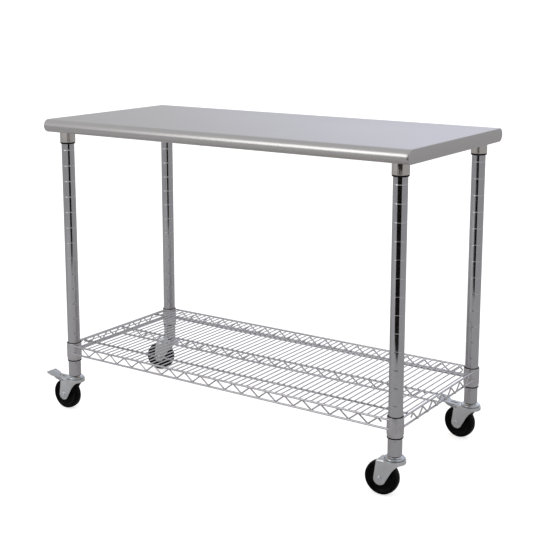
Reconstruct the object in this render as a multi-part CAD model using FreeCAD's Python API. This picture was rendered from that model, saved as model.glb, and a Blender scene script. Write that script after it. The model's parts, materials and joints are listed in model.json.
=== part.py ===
"""Kitchen island cart: a stainless worktop on four grooved posts, with one wire shelf and
four swivel casters, two of them with a foot brake.

Millimetres.  +X runs along the worktop, -Y is the front, +Z is up.  The origin lies on the
floor, in the middle of the box that holds the whole cart with its casters trailing to -X.
"""
import FreeCAD, Part
import math
import os

V = FreeCAD.Vector
UP = V(0, 0, 1)
ALONG_X = V(1, 0, 0)
ALONG_Y = V(0, 1, 0)

# ---- driving dimensions -------------------------------------------------------------------
TOP_LENGTH = 1219.0
TOP_DEPTH = 575.0
TOP_HEIGHT = 915.0
TOP_THICK = 38.1
SHEET = 1.2
BOARD_THICK = 18.0
LIP = 12.0

POST_X = 562.0
POST_Y = 234.4
POST_R = 19.05
POST_WALL = 1.2
POST_BOTTOM = 114.4
GROOVE_PITCH = 47.6
GROOVE_FIRST = 822.6
GROOVE_DEPTH = 0.55
GROOVE_HALF = 1.2

SOCKET_R = 22.75
SOCKET_BOTTOM = 845.0
FLANGE_SIDE = 64.0
FLANGE_THICK = 4.0
SCREW_OFFSET = 24.0
SLEEVE_IN = POST_R + 0.05
SLEEVE_OUT = SLEEVE_IN + 1.45

COLLAR_R = 22.5
COLLAR_TOP = 219.0
COLLAR_BOTTOM = 165.0

RAIL_R = 2.8
ZIGZAG_R = 2.1
DECK_R = 1.8
RAIL_TOP_Z = 212.5
RAIL_LOW_Z = 187.0
DECK_PITCH = 19.17
DECK_COUNT = 56
ZIGZAG_PITCH = 3 * DECK_PITCH
STRINGER_Y = 177.0
LONG_RAIL_OFFSET = 18.5
END_RAIL_OFFSET = 13.6
WELD_GAP = 0.03

WHEEL_R = 47.0
WHEEL_WIDTH = 28.0
TRAIL = 34.0
FORK_SHEET = 2.5
FORK_HALF = 19.0
CROWN_TOP = 100.5
CROWN_R = 30.0
SKIRT_LOW = 93.5
KINGPIN_R = 8.0
AXLE_R = 4.0
PIN_R = 2.5
PIN_U = -40.0
PIN_Z = 94.5
PEDAL_REACH = 104.0

# ---- values worked out from them ----------------------------------------------------------
X_MID = (POST_X + PEDAL_REACH - TOP_LENGTH / 2) / 2
TOP_UNDER = TOP_HEIGHT - TOP_THICK
BOARD_UNDER = TOP_HEIGHT - SHEET - BOARD_THICK
NOSE_R = TOP_THICK / 2
NOSE_Y = TOP_DEPTH / 2 - NOSE_R
FLANGE_UNDER = BOARD_UNDER - FLANGE_THICK
POST_TOP = FLANGE_UNDER - 2.8
DECK_Z = RAIL_TOP_Z + RAIL_R - DECK_R
STRINGER_Z = DECK_Z - DECK_R - RAIL_R - WELD_GAP
LONG_RAIL_Y = POST_Y + LONG_RAIL_OFFSET
END_RAIL_X = POST_X + END_RAIL_OFFSET
RAIL_REACH_X = END_RAIL_X - RAIL_R - WELD_GAP
RAIL_REACH_Y = LONG_RAIL_Y - RAIL_R - WELD_GAP

# corner name: side along X, side along Y, turn of the caster from straight -X, brake
CORNERS = {
    "front_left": (-1, -1, 0.0, True),
    "front_right": (1, -1, 3.0, False),
    "back_left": (-1, 1, 18.0, False),
    "back_right": (1, 1, -8.0, True),
}


# ---- small helpers ------------------------------------------------------------------------
def box(x0, x1, y0, y1, z0, z1):
    """A box between two corners."""
    return Part.makeBox(x1 - x0, y1 - y0, z1 - z0, V(x0, y0, z0))


def rod(start, end, radius):
    """A round bar from one point to another."""
    run = end - start
    return Part.makeCylinder(radius, run.Length, start, run)


def turned(outline):
    """A solid turned about Z from a closed outline of (radius, height) points."""
    points = [V(radius, 0, height) for radius, height in outline]
    face = Part.Face(Part.makePolygon(points + points[:1]))
    return face.revolve(V(0, 0, 0), UP, 360)


def ring(inner, outer, low, high):
    """A plain ring about Z."""
    return turned([(inner, low), (outer, low), (outer, high), (inner, high)])


def corner_point(name):
    """Where a corner's post axis meets the floor."""
    side_x, side_y = CORNERS[name][:2]
    return V(X_MID + side_x * POST_X, side_y * POST_Y, 0)


def at_corner(shape, name):
    """A copy of a shape made about the Z axis, moved to a corner's post."""
    moved = shape.copy()
    moved.translate(corner_point(name))
    return moved


def at_caster(shape, name):
    """A copy of a caster piece, turned to its trailing direction at its corner."""
    moved = shape.copy()
    moved.rotate(V(0, 0, 0), UP, CORNERS[name][2])
    moved.translate(corner_point(name))
    return moved


def at_middle(shape):
    """A copy of a shape made about the cart's middle, moved to the worktop's centre."""
    moved = shape.copy()
    moved.translate(V(X_MID, 0, 0))
    return moved


def save(name, shape):
    """Write one sub-part."""
    shape.exportStep("parts/" + name + ".step")


# ---- worktop ------------------------------------------------------------------------------
def nose_prism(half_length, half_flat, radius, middle):
    """A bar along X whose long edges are half round."""
    top = middle + radius
    low = middle - radius
    front = Part.Arc(V(0, -half_flat, top), V(0, -half_flat - radius, middle), V(0, -half_flat, low))
    under = Part.LineSegment(V(0, -half_flat, low), V(0, half_flat, low))
    back = Part.Arc(V(0, half_flat, low), V(0, half_flat + radius, middle), V(0, half_flat, top))
    over = Part.LineSegment(V(0, half_flat, top), V(0, -half_flat, top))
    outline = Part.Wire([edge.toShape() for edge in (front, under, back, over)])
    bar = Part.Face(outline).extrude(V(2 * half_length, 0, 0))
    bar.translate(V(-half_length, 0, 0))
    return bar


def worktop_skin():
    """The folded steel sheet: top, rolled long edges, flat ends and a short lip underneath."""
    middle = TOP_HEIGHT - NOSE_R
    half = TOP_LENGTH / 2
    outer = nose_prism(half, NOSE_Y, NOSE_R, middle)
    inner = nose_prism(half - SHEET, NOSE_Y, NOSE_R - SHEET, middle)
    mouth = box(LIP - half, half - LIP, -NOSE_Y - 2, NOSE_Y + 2, TOP_UNDER - 1, middle)
    return outer.cut(inner).cut(mouth)


def socket_screw_points():
    """Centres of every socket screw, about the cart's middle."""
    points = []
    for side_x, side_y, _, _ in CORNERS.values():
        for step_x in (-SCREW_OFFSET, SCREW_OFFSET):
            for step_y in (-SCREW_OFFSET, SCREW_OFFSET):
                points.append((side_x * POST_X + step_x, side_y * POST_Y + step_y))
    return points


def worktop_board():
    """The board that stiffens the sheet, with a pilot hole for each socket screw."""
    half = TOP_LENGTH / 2 - SHEET - 0.5
    board = box(-half, half, -NOSE_Y, NOSE_Y, BOARD_UNDER, TOP_HEIGHT - SHEET)
    for x, y in socket_screw_points():
        board = board.cut(Part.makeCylinder(2.1, 13, V(x, y, BOARD_UNDER)))
    return board


def hat_channel():
    """A folded channel across the underside, open towards the board."""
    length = 2 * (NOSE_Y - 16)
    depth = 17.0
    crown = 22.0
    foot = 40.0
    outer = [(-foot, 0), (-foot, -SHEET), (-crown, -SHEET), (-crown, -depth), (crown, -depth),
             (crown, -SHEET), (foot, -SHEET), (foot, 0), (crown - SHEET, 0),
             (crown - SHEET, SHEET - depth), (SHEET - crown, SHEET - depth), (SHEET - crown, 0)]
    points = [V(x, -length / 2, BOARD_UNDER + z) for x, z in outer]
    face = Part.Face(Part.makePolygon(points + points[:1]))
    return face.extrude(V(0, length, 0))


# ---- posts and their sockets --------------------------------------------------------------
def groove_heights():
    """Middle of every ring groove on a post."""
    first = GROOVE_FIRST + GROOVE_PITCH
    heights = []
    while first > POST_BOTTOM + 20:
        heights.append(first)
        first -= GROOVE_PITCH
    return heights


def post():
    """A steel tube with a ring groove at every pitch."""
    outline = [(POST_R - POST_WALL, POST_TOP), (POST_R, POST_TOP)]
    for height in groove_heights():
        outline.append((POST_R, height + GROOVE_HALF))
        outline.append((POST_R - GROOVE_DEPTH, height))
        outline.append((POST_R, height - GROOVE_HALF))
    outline += [(POST_R, POST_BOTTOM), (POST_R - POST_WALL, POST_BOTTOM)]
    return turned(outline)


def post_plug():
    """The plug pressed into a post's foot, bored for the caster's stem."""
    return ring(5.55, POST_R - POST_WALL - 0.03, POST_BOTTOM + 0.2, POST_BOTTOM + 25)


def socket():
    """A cast cup under the worktop: screwed flange above, collar round the post below."""
    half = FLANGE_SIDE / 2
    bore = SLEEVE_OUT + 0.05
    flange = box(-half, half, -half, half, FLANGE_UNDER, BOARD_UNDER)
    upright = [edge for edge in flange.Edges if abs(edge.tangentAt(edge.FirstParameter).z) > 0.9]
    flange = flange.makeFillet(9, upright)
    chamfer = 1.5
    collar = turned([(bore, SOCKET_BOTTOM), (SOCKET_R - chamfer, SOCKET_BOTTOM),
                     (SOCKET_R, SOCKET_BOTTOM + chamfer), (SOCKET_R, FLANGE_UNDER - 4),
                     (SOCKET_R + 4, FLANGE_UNDER), (bore, FLANGE_UNDER)])
    body = flange.fuse(collar).removeSplitter()
    for x in (-SCREW_OFFSET, SCREW_OFFSET):
        for y in (-SCREW_OFFSET, SCREW_OFFSET):
            body = body.cut(Part.makeCylinder(2.4, FLANGE_THICK + 8, V(x, y, FLANGE_UNDER - 6)))
            body = body.cut(Part.makeCylinder(4.6, 6, V(x, y, FLANGE_UNDER - 6)))
    return body


def socket_screw(x, y):
    """A pan head screw through a socket's flange into the board."""
    shank = Part.makeCylinder(2.05, FLANGE_THICK + 12, V(x, y, FLANGE_UNDER - 0.5))
    head = Part.makeCylinder(4.2, 2.6, V(x, y, FLANGE_UNDER - 2.6))
    crown = [edge for edge in head.Edges if edge.BoundBox.ZMax < FLANGE_UNDER - 2.5]
    head = head.makeFillet(1.2, crown)
    return head.fuse(shank).removeSplitter()


def top_sleeve():
    """The sleeve in a top socket, whose lip shows as a black ring under the collar."""
    low = SOCKET_BOTTOM - 2.6
    lip = (low, SOCKET_BOTTOM - 0.1, SOCKET_R - 0.9)
    shell = turned([(SLEEVE_IN, low), (lip[2], low), (lip[2], lip[1]), (SLEEVE_OUT, lip[1]),
                    (SLEEVE_OUT, POST_TOP - 8), (SLEEVE_IN, POST_TOP - 8)])
    bead_z = GROOVE_FIRST + GROOVE_PITCH
    bead = turned([(SLEEVE_IN + 0.2, bead_z - 0.8), (SLEEVE_IN + 0.2, bead_z + 0.8),
                   (SLEEVE_IN - 0.4, bead_z)])
    shell = shell.fuse(bead).removeSplitter()
    return shell.cut(box(-30, 30, -0.6, 0.6, low - 1, POST_TOP))


def shelf_sleeve():
    """The sleeve in a shelf collar, with a black lip above and below it."""
    low = COLLAR_BOTTOM - 1.8
    high = COLLAR_TOP + 1.5
    shell = turned([(SLEEVE_IN, low), (SLEEVE_OUT + 0.4, low), (SLEEVE_OUT + 0.4, COLLAR_BOTTOM - 0.1),
                    (SLEEVE_OUT, COLLAR_BOTTOM - 0.1), (SLEEVE_OUT, COLLAR_TOP + 0.1),
                    (SLEEVE_OUT + 0.9, COLLAR_TOP + 0.1), (SLEEVE_OUT + 0.9, high), (SLEEVE_IN, high)])
    steps = round((GROOVE_FIRST - RAIL_TOP_Z) / GROOVE_PITCH)
    bead_z = GROOVE_FIRST - steps * GROOVE_PITCH
    bead = turned([(SLEEVE_IN + 0.2, bead_z - 0.8), (SLEEVE_IN + 0.2, bead_z + 0.8),
                   (SLEEVE_IN - 0.4, bead_z)])
    shell = shell.fuse(bead).removeSplitter()
    return shell.cut(box(-30, 30, -0.6, 0.6, low - 1, high + 1))


# ---- wire shelf ---------------------------------------------------------------------------
def shelf_collar():
    """The ring welded into each corner of the shelf, drawn in at its foot."""
    bore = SLEEVE_OUT + 0.05
    return turned([(bore, COLLAR_BOTTOM), (bore + 0.6, COLLAR_BOTTOM), (COLLAR_R, COLLAR_BOTTOM + 7),
                   (COLLAR_R, COLLAR_TOP - 0.8), (COLLAR_R - 0.8, COLLAR_TOP), (bore, COLLAR_TOP)])


def bent_bar(points, radius, bend):
    """A round bar along straight runs, with an arc of the given bend at each corner."""
    edges = []
    start = points[0]
    for before, here, after in zip(points, points[1:], points[2:]):
        back = (before - here).normalize()
        ahead = (after - here).normalize()
        half = back.getAngle(ahead) / 2
        setback = bend / math.tan(half)
        middle = (back + ahead).normalize() * (bend / math.sin(half) - bend)
        leave = here + back * setback
        rejoin = here + ahead * setback
        edges.append(Part.makeLine(start, leave))
        edges.append(Part.Arc(leave, here + middle, rejoin).toShape())
        start = rejoin
    edges.append(Part.makeLine(start, points[-1]))
    path = Part.Wire(edges)
    section = Part.Wire([Part.makeCircle(radius, points[0], points[1] - points[0])])
    return path.makePipeShell([section], True, False)


def zigzag_runs(reach, low, high):
    """(distance, height) corners of a truss zigzag, high ones at whole pitches from the middle."""
    steps = int(reach / (ZIGZAG_PITCH / 2))
    if steps % 2:
        steps -= 1
    runs = []
    for step in range(-steps, steps + 1):
        height = low if step % 2 else high
        runs.append((step * ZIGZAG_PITCH / 2, height))
    tail = 11.0
    drop = tail * (high - low) / (ZIGZAG_PITCH / 2)
    runs.insert(0, (runs[0][0] - tail, high - drop))
    runs.append((runs[-1][0] + tail, high - drop))
    return runs


def long_truss(rail_y, zigzag_y, rail_z, reach, collars):
    """Two rails along X with a zigzag wire welded between them."""
    pieces = []
    for z in (rail_z, RAIL_LOW_Z):
        rail = rod(V(-reach, rail_y, z), V(reach, rail_y, z), RAIL_R)
        for collar in collars:
            rail = rail.cut(collar)
        pieces.append(rail)
    high = min(rail_z, DECK_Z - DECK_R - ZIGZAG_R - WELD_GAP)
    runs = zigzag_runs(POST_X - COLLAR_R - 14, RAIL_LOW_Z, high)
    pieces.append(bent_bar([V(x, zigzag_y, z) for x, z in runs], ZIGZAG_R, 4.0))
    return Part.makeCompound(pieces)


def end_truss(side, collars):
    """Two rails along Y with a zigzag wire welded to their outer side."""
    x = side * END_RAIL_X
    pieces = []
    for z in (RAIL_TOP_Z, RAIL_LOW_Z):
        rail = rod(V(x, -POST_Y, z), V(x, POST_Y, z), RAIL_R)
        for collar in collars:
            rail = rail.cut(collar)
        pieces.append(rail)
    outside = x + side * (RAIL_R + ZIGZAG_R + WELD_GAP)
    runs = zigzag_runs(POST_Y - COLLAR_R - 14, RAIL_LOW_Z, RAIL_TOP_Z)
    pieces.append(bent_bar([V(outside, y, z) for y, z in runs], ZIGZAG_R, 4.0))
    return Part.makeCompound(pieces)


def deck_wires():
    """The cross wires that things stand on; the last two at each end stop between the collars."""
    wires = []
    last = DECK_COUNT // 2 + 2
    for step in range(-last, last):
        x = (step + 0.5) * DECK_PITCH
        full = abs(x) < DECK_PITCH * DECK_COUNT / 2
        reach = RAIL_REACH_Y if full else POST_Y - COLLAR_R - 6
        wires.append(rod(V(x, -reach, DECK_Z), V(x, reach, DECK_Z), DECK_R))
    return Part.makeCompound(wires)


# ---- casters, made about the swivel axis and trailing to -X ------------------------------
def caster_stem():
    """The kingpin, its lower head, its collar under the post and the stem above."""
    return turned([(0, 93.6), (11.0, 93.6), (13.0, 95.2), (13.0, 97.5), (KINGPIN_R, 97.5),
                   (KINGPIN_R, 113.0), (12.0, 113.0), (12.0, 114.2), (5.5, 114.2), (5.5, 152.0),
                   (4.3, 153.5), (0, 153.5)])


def raceway_cap():
    """The domed upper raceway, pressed on the kingpin over the balls."""
    bore = KINGPIN_R + 0.02
    return turned([(bore, 110.4), (bore, 112.9), (15.5, 112.9), (19.5, 112.0), (23.6, 109.4),
                   (25.2, 108.9), (26.8, 107.4), (27.0, 103.8), (25.2, 103.8), (25.0, 106.4),
                   (22.6, 107.6), (18.6, 109.6), (15.2, 110.4)])


def swivel_balls():
    """The balls between the crown and the cap."""
    count = 14
    balls = []
    for index in range(count):
        turn = 2 * math.pi * index / count
        balls.append(Part.makeSphere(2.9, V(20 * math.cos(turn), 20 * math.sin(turn), 104.0)))
    return balls


def fork_side():
    """Side outline of the fork as a face in the XZ plane: round foot, slanted front edge."""
    foot_r = 17.0
    axle = V(-TRAIL, 0, WHEEL_R)
    rear_top = V(-37.0, 0, CROWN_TOP + 1)
    rear_round = V(-42.2, 0, CROWN_TOP - 1.6)
    rear_edge = V(-44.5, 0, CROWN_TOP - 7)
    rear_foot = axle + V(-foot_r, 0, -1)
    front_foot = axle + V(foot_r * 0.84, 0, -foot_r * 0.54)
    foot_low = axle + V(0, 0, -foot_r)
    knee = V(-3.0, 0, 67.0)
    brow = V(9.0, 0, 83.0)
    nose = V(23.1, 0, SKIRT_LOW)
    nose_top = V(23.1, 0, CROWN_TOP + 1)
    edges = [Part.Arc(rear_top, rear_round, rear_edge).toShape(), Part.makeLine(rear_edge, rear_foot),
             Part.Arc(rear_foot, foot_low, front_foot).toShape(),
             Part.makeLine(front_foot, knee), Part.Arc(knee, brow, nose).toShape(),
             Part.makeLine(nose, nose_top), Part.makeLine(nose_top, rear_top)]
    return Part.Face(Part.Wire(edges))


def fork(brake):
    """A pressed sheet fork: crown with a rim round the cap, two legs with rounded shoulders."""
    shoulder = 6.0
    deep = 90.0
    outer = box(-60, 40, -FORK_HALF, FORK_HALF, CROWN_TOP - deep, CROWN_TOP)
    inner_half = FORK_HALF - FORK_SHEET
    inner = box(-61, 41, -inner_half, inner_half, CROWN_TOP - deep - 1, CROWN_TOP - FORK_SHEET)
    outer = outer.makeFillet(shoulder, long_top_edges(outer, FORK_HALF, CROWN_TOP))
    inner = inner.makeFillet(shoulder - FORK_SHEET,
                             long_top_edges(inner, inner_half, CROWN_TOP - FORK_SHEET))
    side = fork_side().extrude(V(0, 4 * FORK_HALF, 0))
    side.translate(V(0, -2 * FORK_HALF, 0))
    shell = outer.cut(inner).common(side)
    crown = Part.makeCylinder(CROWN_R, FORK_SHEET, V(0, 0, CROWN_TOP - FORK_SHEET))
    rim = ring(27.4, CROWN_R, CROWN_TOP - 1, 103.4)
    skirt = ring(CROWN_R - FORK_SHEET, CROWN_R, SKIRT_LOW, CROWN_TOP - 1)
    skirt = skirt.common(box(-12.0, 40, -40, 40, 80, 110))
    body = shell.fuse([crown, rim, skirt]).removeSplitter()
    body = body.cut(Part.makeCylinder(KINGPIN_R + 0.06, 20, V(0, 0, 90)))
    body = body.cut(rod(V(-TRAIL, -30, WHEEL_R), V(-TRAIL, 30, WHEEL_R), AXLE_R + 0.02))
    if brake:
        body = body.cut(box(-60, -31, 0.4 - inner_half, inner_half - 0.4, 90, CROWN_TOP + 1))
        body = body.cut(rod(V(PIN_U, -30, PIN_Z), V(PIN_U, 30, PIN_Z), PIN_R + 0.02))
    return body


def long_top_edges(block, half, top):
    """The two upper edges of a block that run along X."""
    found = []
    for edge in block.Edges:
        bounds = edge.BoundBox
        level = abs(bounds.ZMin - top) < 0.01 and abs(bounds.ZMax - top) < 0.01
        outside = abs(abs(bounds.YMin) - half) < 0.01 and abs(bounds.YMax - bounds.YMin) < 0.01
        if level and outside:
            found.append(edge)
    return found


def axle_bolt():
    """The shouldered axle bolt with its domed head, and the nut on the far leg."""
    outside = FORK_HALF + 0.05
    head = Part.makeCylinder(6.5, 3.2, V(-TRAIL, -outside, WHEEL_R), V(0, -1, 0))
    rim = [edge for edge in head.Edges if edge.BoundBox.YMax < -outside - 3]
    head = head.makeFillet(1.6, rim)
    head = head.cut(Part.makeCylinder(2.6, 2.0, V(-TRAIL, -outside - 3.3, WHEEL_R), ALONG_Y))
    shank = rod(V(-TRAIL, -outside - 1, WHEEL_R), V(-TRAIL, outside + 8, WHEEL_R), AXLE_R)
    bolt = head.fuse(shank).removeSplitter()
    flats = []
    for index in range(7):
        turn = math.radians(60 * index)
        flats.append(V(-TRAIL + 7.5 * math.cos(turn), outside, WHEEL_R + 7.5 * math.sin(turn)))
    nut = Part.Face(Part.makePolygon(flats)).extrude(V(0, 6.4, 0))
    nut = nut.cut(rod(V(-TRAIL, 0, WHEEL_R), V(-TRAIL, 40, WHEEL_R), AXLE_R + 0.02))
    return Part.makeCompound([bolt, nut])


def wheel():
    """A solid wheel: rounded tread, dished web and a hub bored for the bushing."""
    half = WHEEL_WIDTH / 2
    points = [(6.05, 15.4), (12.0, 15.4), (13.5, 10.0), (33.0, 9.0), (36.5, half - 1.0),
              (40.0, half), (43.5, half - 1.2), (46.0, half - 5.0), (WHEEL_R, half - 9.5)]
    outline = points + [(radius, -side) for radius, side in reversed(points)]
    shape = turned(outline)
    shape.rotate(V(0, 0, 0), ALONG_X, 90)
    shape.translate(V(-TRAIL, 0, WHEEL_R))
    return shape


def bushing():
    """The steel tube that the wheel turns on, over the axle bolt."""
    shape = ring(AXLE_R + 0.06, 6.02, -16.1, 16.1)
    shape.rotate(V(0, 0, 0), ALONG_X, 90)
    shape.translate(V(-TRAIL, 0, WHEEL_R))
    return shape


def slab(outline, low, high):
    """A flat plate from (x, y) points."""
    points = [V(x, y, low) for x, y in outline]
    return Part.Face(Part.makePolygon(points + points[:1])).extrude(V(0, 0, high - low))


def brake_pedal():
    """A pressed lever between the fork legs: slotted plate, raised toe, ears and brake tongue."""
    thick = 2.0
    half = 15.7
    toe_half = 21.0
    bend_u = -76.0
    plate_low = 97.4
    toe_rise = 9.0
    plate = box(bend_u, -32.0, -half, half, plate_low, plate_low + thick)
    side = [V(bend_u + 0.01, 0, plate_low), V(-PEDAL_REACH + 0.6, 0, plate_low + toe_rise),
            V(-PEDAL_REACH, 0, plate_low + toe_rise + thick), V(bend_u + 0.01, 0, plate_low + thick)]
    toe = Part.Face(Part.makePolygon(side + side[:1])).extrude(V(0, 2 * toe_half, 0))
    toe.translate(V(0, -toe_half, 0))
    toe_back = 2.5 - PEDAL_REACH
    plan = slab([(bend_u + 1, -half), (bend_u + 1, half), (bend_u - 7, toe_half),
                 (toe_back, toe_half), (-PEDAL_REACH, toe_half - 2.5),
                 (-PEDAL_REACH, 2.5 - toe_half), (toe_back, -toe_half),
                 (bend_u - 7, -toe_half)], 80, 120)
    toe = toe.common(plan)
    body = plate.fuse(toe)
    for side_y in (-1, 1):
        ear_y = sorted((side_y * half, side_y * (half - thick)))
        skirt = [V(-34, 0, plate_low + 0.5), V(-34, 0, PIN_Z - 3.9), V(-44, 0, 89.2),
                 V(-56, 0, 88.8), V(-68, 0, 91.5), V(-76, 0, 95.6), V(-76, 0, plate_low + 0.5)]
        ear = Part.Face(Part.makePolygon(skirt + skirt[:1])).extrude(V(0, thick, 0))
        ear.translate(V(0, ear_y[0], 0))
        body = body.fuse(ear)
    tongue = box(-70.0, -68.0, -8, 8, 87.8, plate_low + 0.5)
    body = body.fuse(tongue).removeSplitter()
    slot = box(-63.5, -46.5, -3, 3, 90, 110)
    for u in (-63.5, -46.5):
        slot = slot.fuse(Part.makeCylinder(3, 20, V(u, 0, 90)))
    body = body.cut(slot)
    return body.cut(rod(V(PIN_U, -30, PIN_Z), V(PIN_U, 30, PIN_Z), PIN_R + 0.06))


def brake_pin():
    """The two headed stub pins that the pedal's ears rock on."""
    outside = FORK_HALF + 0.05
    stubs = []
    for side_y in (-1, 1):
        start = V(PIN_U, side_y * 13.5, PIN_Z)
        shank = Part.makeCylinder(PIN_R, outside + 0.5 - 13.5, start, V(0, side_y, 0))
        head = Part.makeCylinder(3.8, 1.6, V(PIN_U, side_y * outside, PIN_Z), V(0, side_y, 0))
        stubs.append(shank.fuse(head).removeSplitter())
    return Part.makeCompound(stubs)


# ---- build everything ---------------------------------------------------------------------
def build_worktop():
    save("worktop_skin", at_middle(worktop_skin()))
    save("worktop_board", at_middle(worktop_board()))
    for name, x in (("left_channel", -POST_X / 2), ("right_channel", POST_X / 2)):
        channel = hat_channel()
        channel.translate(V(x, 0, 0))
        save(name, at_middle(channel))
    screws = [socket_screw(x, y) for x, y in socket_screw_points()]
    save("socket_screws", at_middle(Part.makeCompound(screws)))


def build_posts():
    for name in CORNERS:
        save(name + "_post", at_corner(post(), name))
        save(name + "_socket", at_corner(socket(), name))
        save(name + "_shelf_collar", at_corner(shelf_collar(), name))
    for name, piece in (("post_plugs", post_plug()), ("socket_sleeves", top_sleeve()),
                        ("shelf_sleeves", shelf_sleeve())):
        solids = []
        for corner in CORNERS:
            solids += at_corner(piece, corner).Solids
        save(name, Part.makeCompound(solids))


def build_shelf():
    collars = []
    for side_x, side_y, _, _ in CORNERS.values():
        foot = V(side_x * POST_X, side_y * POST_Y, COLLAR_BOTTOM - 5)
        collars.append(Part.makeCylinder(COLLAR_R + WELD_GAP, 80, foot))
    inward = RAIL_R + ZIGZAG_R + WELD_GAP
    front = long_truss(-LONG_RAIL_Y, inward - LONG_RAIL_Y, RAIL_TOP_Z, POST_X, collars)
    back = long_truss(LONG_RAIL_Y, LONG_RAIL_Y - inward, RAIL_TOP_Z, POST_X, collars)
    middle = long_truss(0, inward, STRINGER_Z, RAIL_REACH_X, [])
    save("front_truss", at_middle(front))
    save("back_truss", at_middle(back))
    save("middle_truss", at_middle(middle))
    save("left_end_truss", at_middle(end_truss(-1, collars)))
    save("right_end_truss", at_middle(end_truss(1, collars)))
    for name, y in (("front_stringer", -STRINGER_Y), ("back_stringer", STRINGER_Y)):
        stringer = rod(V(-RAIL_REACH_X, y, STRINGER_Z), V(RAIL_REACH_X, y, STRINGER_Z), RAIL_R)
        save(name, at_middle(stringer))
    save("deck_wires", at_middle(deck_wires()))


def build_casters():
    balls = []
    for name, (_, _, _, brake) in CORNERS.items():
        save(name + "_stem", at_caster(caster_stem(), name))
        save(name + "_raceway_cap", at_caster(raceway_cap(), name))
        save(name + "_fork", at_caster(fork(brake), name))
        save(name + "_axle_bolt", at_caster(axle_bolt(), name))
        save(name + "_wheel", at_caster(wheel(), name))
        save(name + "_bushing", at_caster(bushing(), name))
        balls += [at_caster(ball, name) for ball in swivel_balls()]
        if brake:
            save(name + "_brake_pedal", at_caster(brake_pedal(), name))
            save(name + "_brake_pin", at_caster(brake_pin(), name))
    save("swivel_balls", Part.makeCompound(balls))


os.makedirs("parts", exist_ok=True)
build_worktop()
build_posts()
build_shelf()
build_casters()
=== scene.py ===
"""Kitchen island cart: the finished pieces, their materials and a plain studio, around the frame."""
import json
import math

import bmesh
import bpy
from mathutils import Matrix, Vector


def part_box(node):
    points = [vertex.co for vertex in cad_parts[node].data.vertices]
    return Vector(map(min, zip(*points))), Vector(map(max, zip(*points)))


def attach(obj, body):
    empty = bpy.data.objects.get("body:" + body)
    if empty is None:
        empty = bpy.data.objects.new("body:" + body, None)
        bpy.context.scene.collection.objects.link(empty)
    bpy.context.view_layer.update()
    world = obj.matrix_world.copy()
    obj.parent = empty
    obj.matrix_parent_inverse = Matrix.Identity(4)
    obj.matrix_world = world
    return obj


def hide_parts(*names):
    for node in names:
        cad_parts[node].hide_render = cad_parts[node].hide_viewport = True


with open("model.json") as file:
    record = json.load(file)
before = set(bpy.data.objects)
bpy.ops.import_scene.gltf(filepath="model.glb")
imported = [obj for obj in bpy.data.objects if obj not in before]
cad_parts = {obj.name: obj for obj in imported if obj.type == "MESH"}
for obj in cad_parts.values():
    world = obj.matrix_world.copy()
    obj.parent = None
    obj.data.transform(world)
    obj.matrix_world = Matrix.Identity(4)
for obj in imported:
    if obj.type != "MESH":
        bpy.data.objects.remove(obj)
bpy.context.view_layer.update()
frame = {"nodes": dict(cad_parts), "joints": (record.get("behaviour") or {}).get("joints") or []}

bl_info = {
    "name": "Kitchen Island Cart",
    "version": (1, 0, 0),
    "blender": (4, 5, 0),
    "location": "3D View > Sidebar > Cart",
    "description": "Builds a stainless kitchen island cart on grooved posts with a wire shelf",
    "category": "Add Mesh",
}

MM = 0.001
CORNERS = ("front_left", "front_right", "back_left", "back_right")
BRAKED = ("front_left", "back_right")
COLLAR_BORE = 20.6 * MM      # inside the sockets and the shelf collars
BALLS_IN_RACE = 14
PEDAL_PAINTED_SHADE = 0.7            # painted shade: the pedals' zinc darkened against the brighter forks
CAMERA_PLACE = (1.8734, -2.7065, 1.279)
CAMERA_LENS = 76.72
CAMERA_SHIFT = -0.12
SOFTBOX_PLACE = (-1.1, -2.9, 1.85)

# ---- places read from the frame -----------------------------------------------------------
SKIN_LOW, SKIN_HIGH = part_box("worktop_skin")
TOP_MIDDLE = (SKIN_LOW + SKIN_HIGH) / 2
DECK_LOW, DECK_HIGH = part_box("deck_wires")
JOINTS = {joint["name"]: joint for joint in frame["joints"]}


def post_axis(corner):
    """A corner post's axis, as a point on the floor."""
    low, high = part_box(corner + "_post")
    return Vector(((low.x + high.x) / 2, (low.y + high.y) / 2, 0))


def caster_turn(corner):
    """How far a corner's caster is turned from straight -X, in radians."""
    axis = JOINTS[corner + "_wheel_spin"]["axis"]
    return math.atan2(-axis[0], axis[1])


def wheel_place(corner):
    """The matrix that takes a piece turned about Z to a corner's axle."""
    centre = Vector(JOINTS[corner + "_wheel_spin"]["pos_m"])
    turn = Matrix.Rotation(caster_turn(corner), 4, "Z")
    return Matrix.Translation(centre) @ turn @ Matrix.Rotation(math.radians(90), 4, "X")


# ---- settings a user would change ---------------------------------------------------------
class CartWorktop(bpy.types.PropertyGroup):
    corner_round: bpy.props.FloatProperty(
        name="Corner Round", description="Rounding of the half-round edges into the flat ends",
        default=5 * MM, min=2 * MM, max=12 * MM, unit="LENGTH")
    end_round: bpy.props.FloatProperty(
        name="End Round", description="Rounding of the flat ends into the top and the underside",
        default=1.6 * MM, min=0.5 * MM, max=4 * MM, unit="LENGTH")
    seam_inset: bpy.props.FloatProperty(
        name="Seam Inset", description="Distance of the folded seam from each end",
        default=6.8 * MM, min=5.8 * MM, max=30 * MM, unit="LENGTH")
    sheet: bpy.props.FloatProperty(
        name="Sheet", description="Thickness of the steel sheet",
        default=1.2 * MM, min=0.8 * MM, max=2 * MM, unit="LENGTH")
    colour: bpy.props.FloatVectorProperty(
        name="Steel", description="Colour of the brushed steel", subtype="COLOR", size=3,
        default=(0.61, 0.597, 0.588), min=0, max=1)


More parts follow.
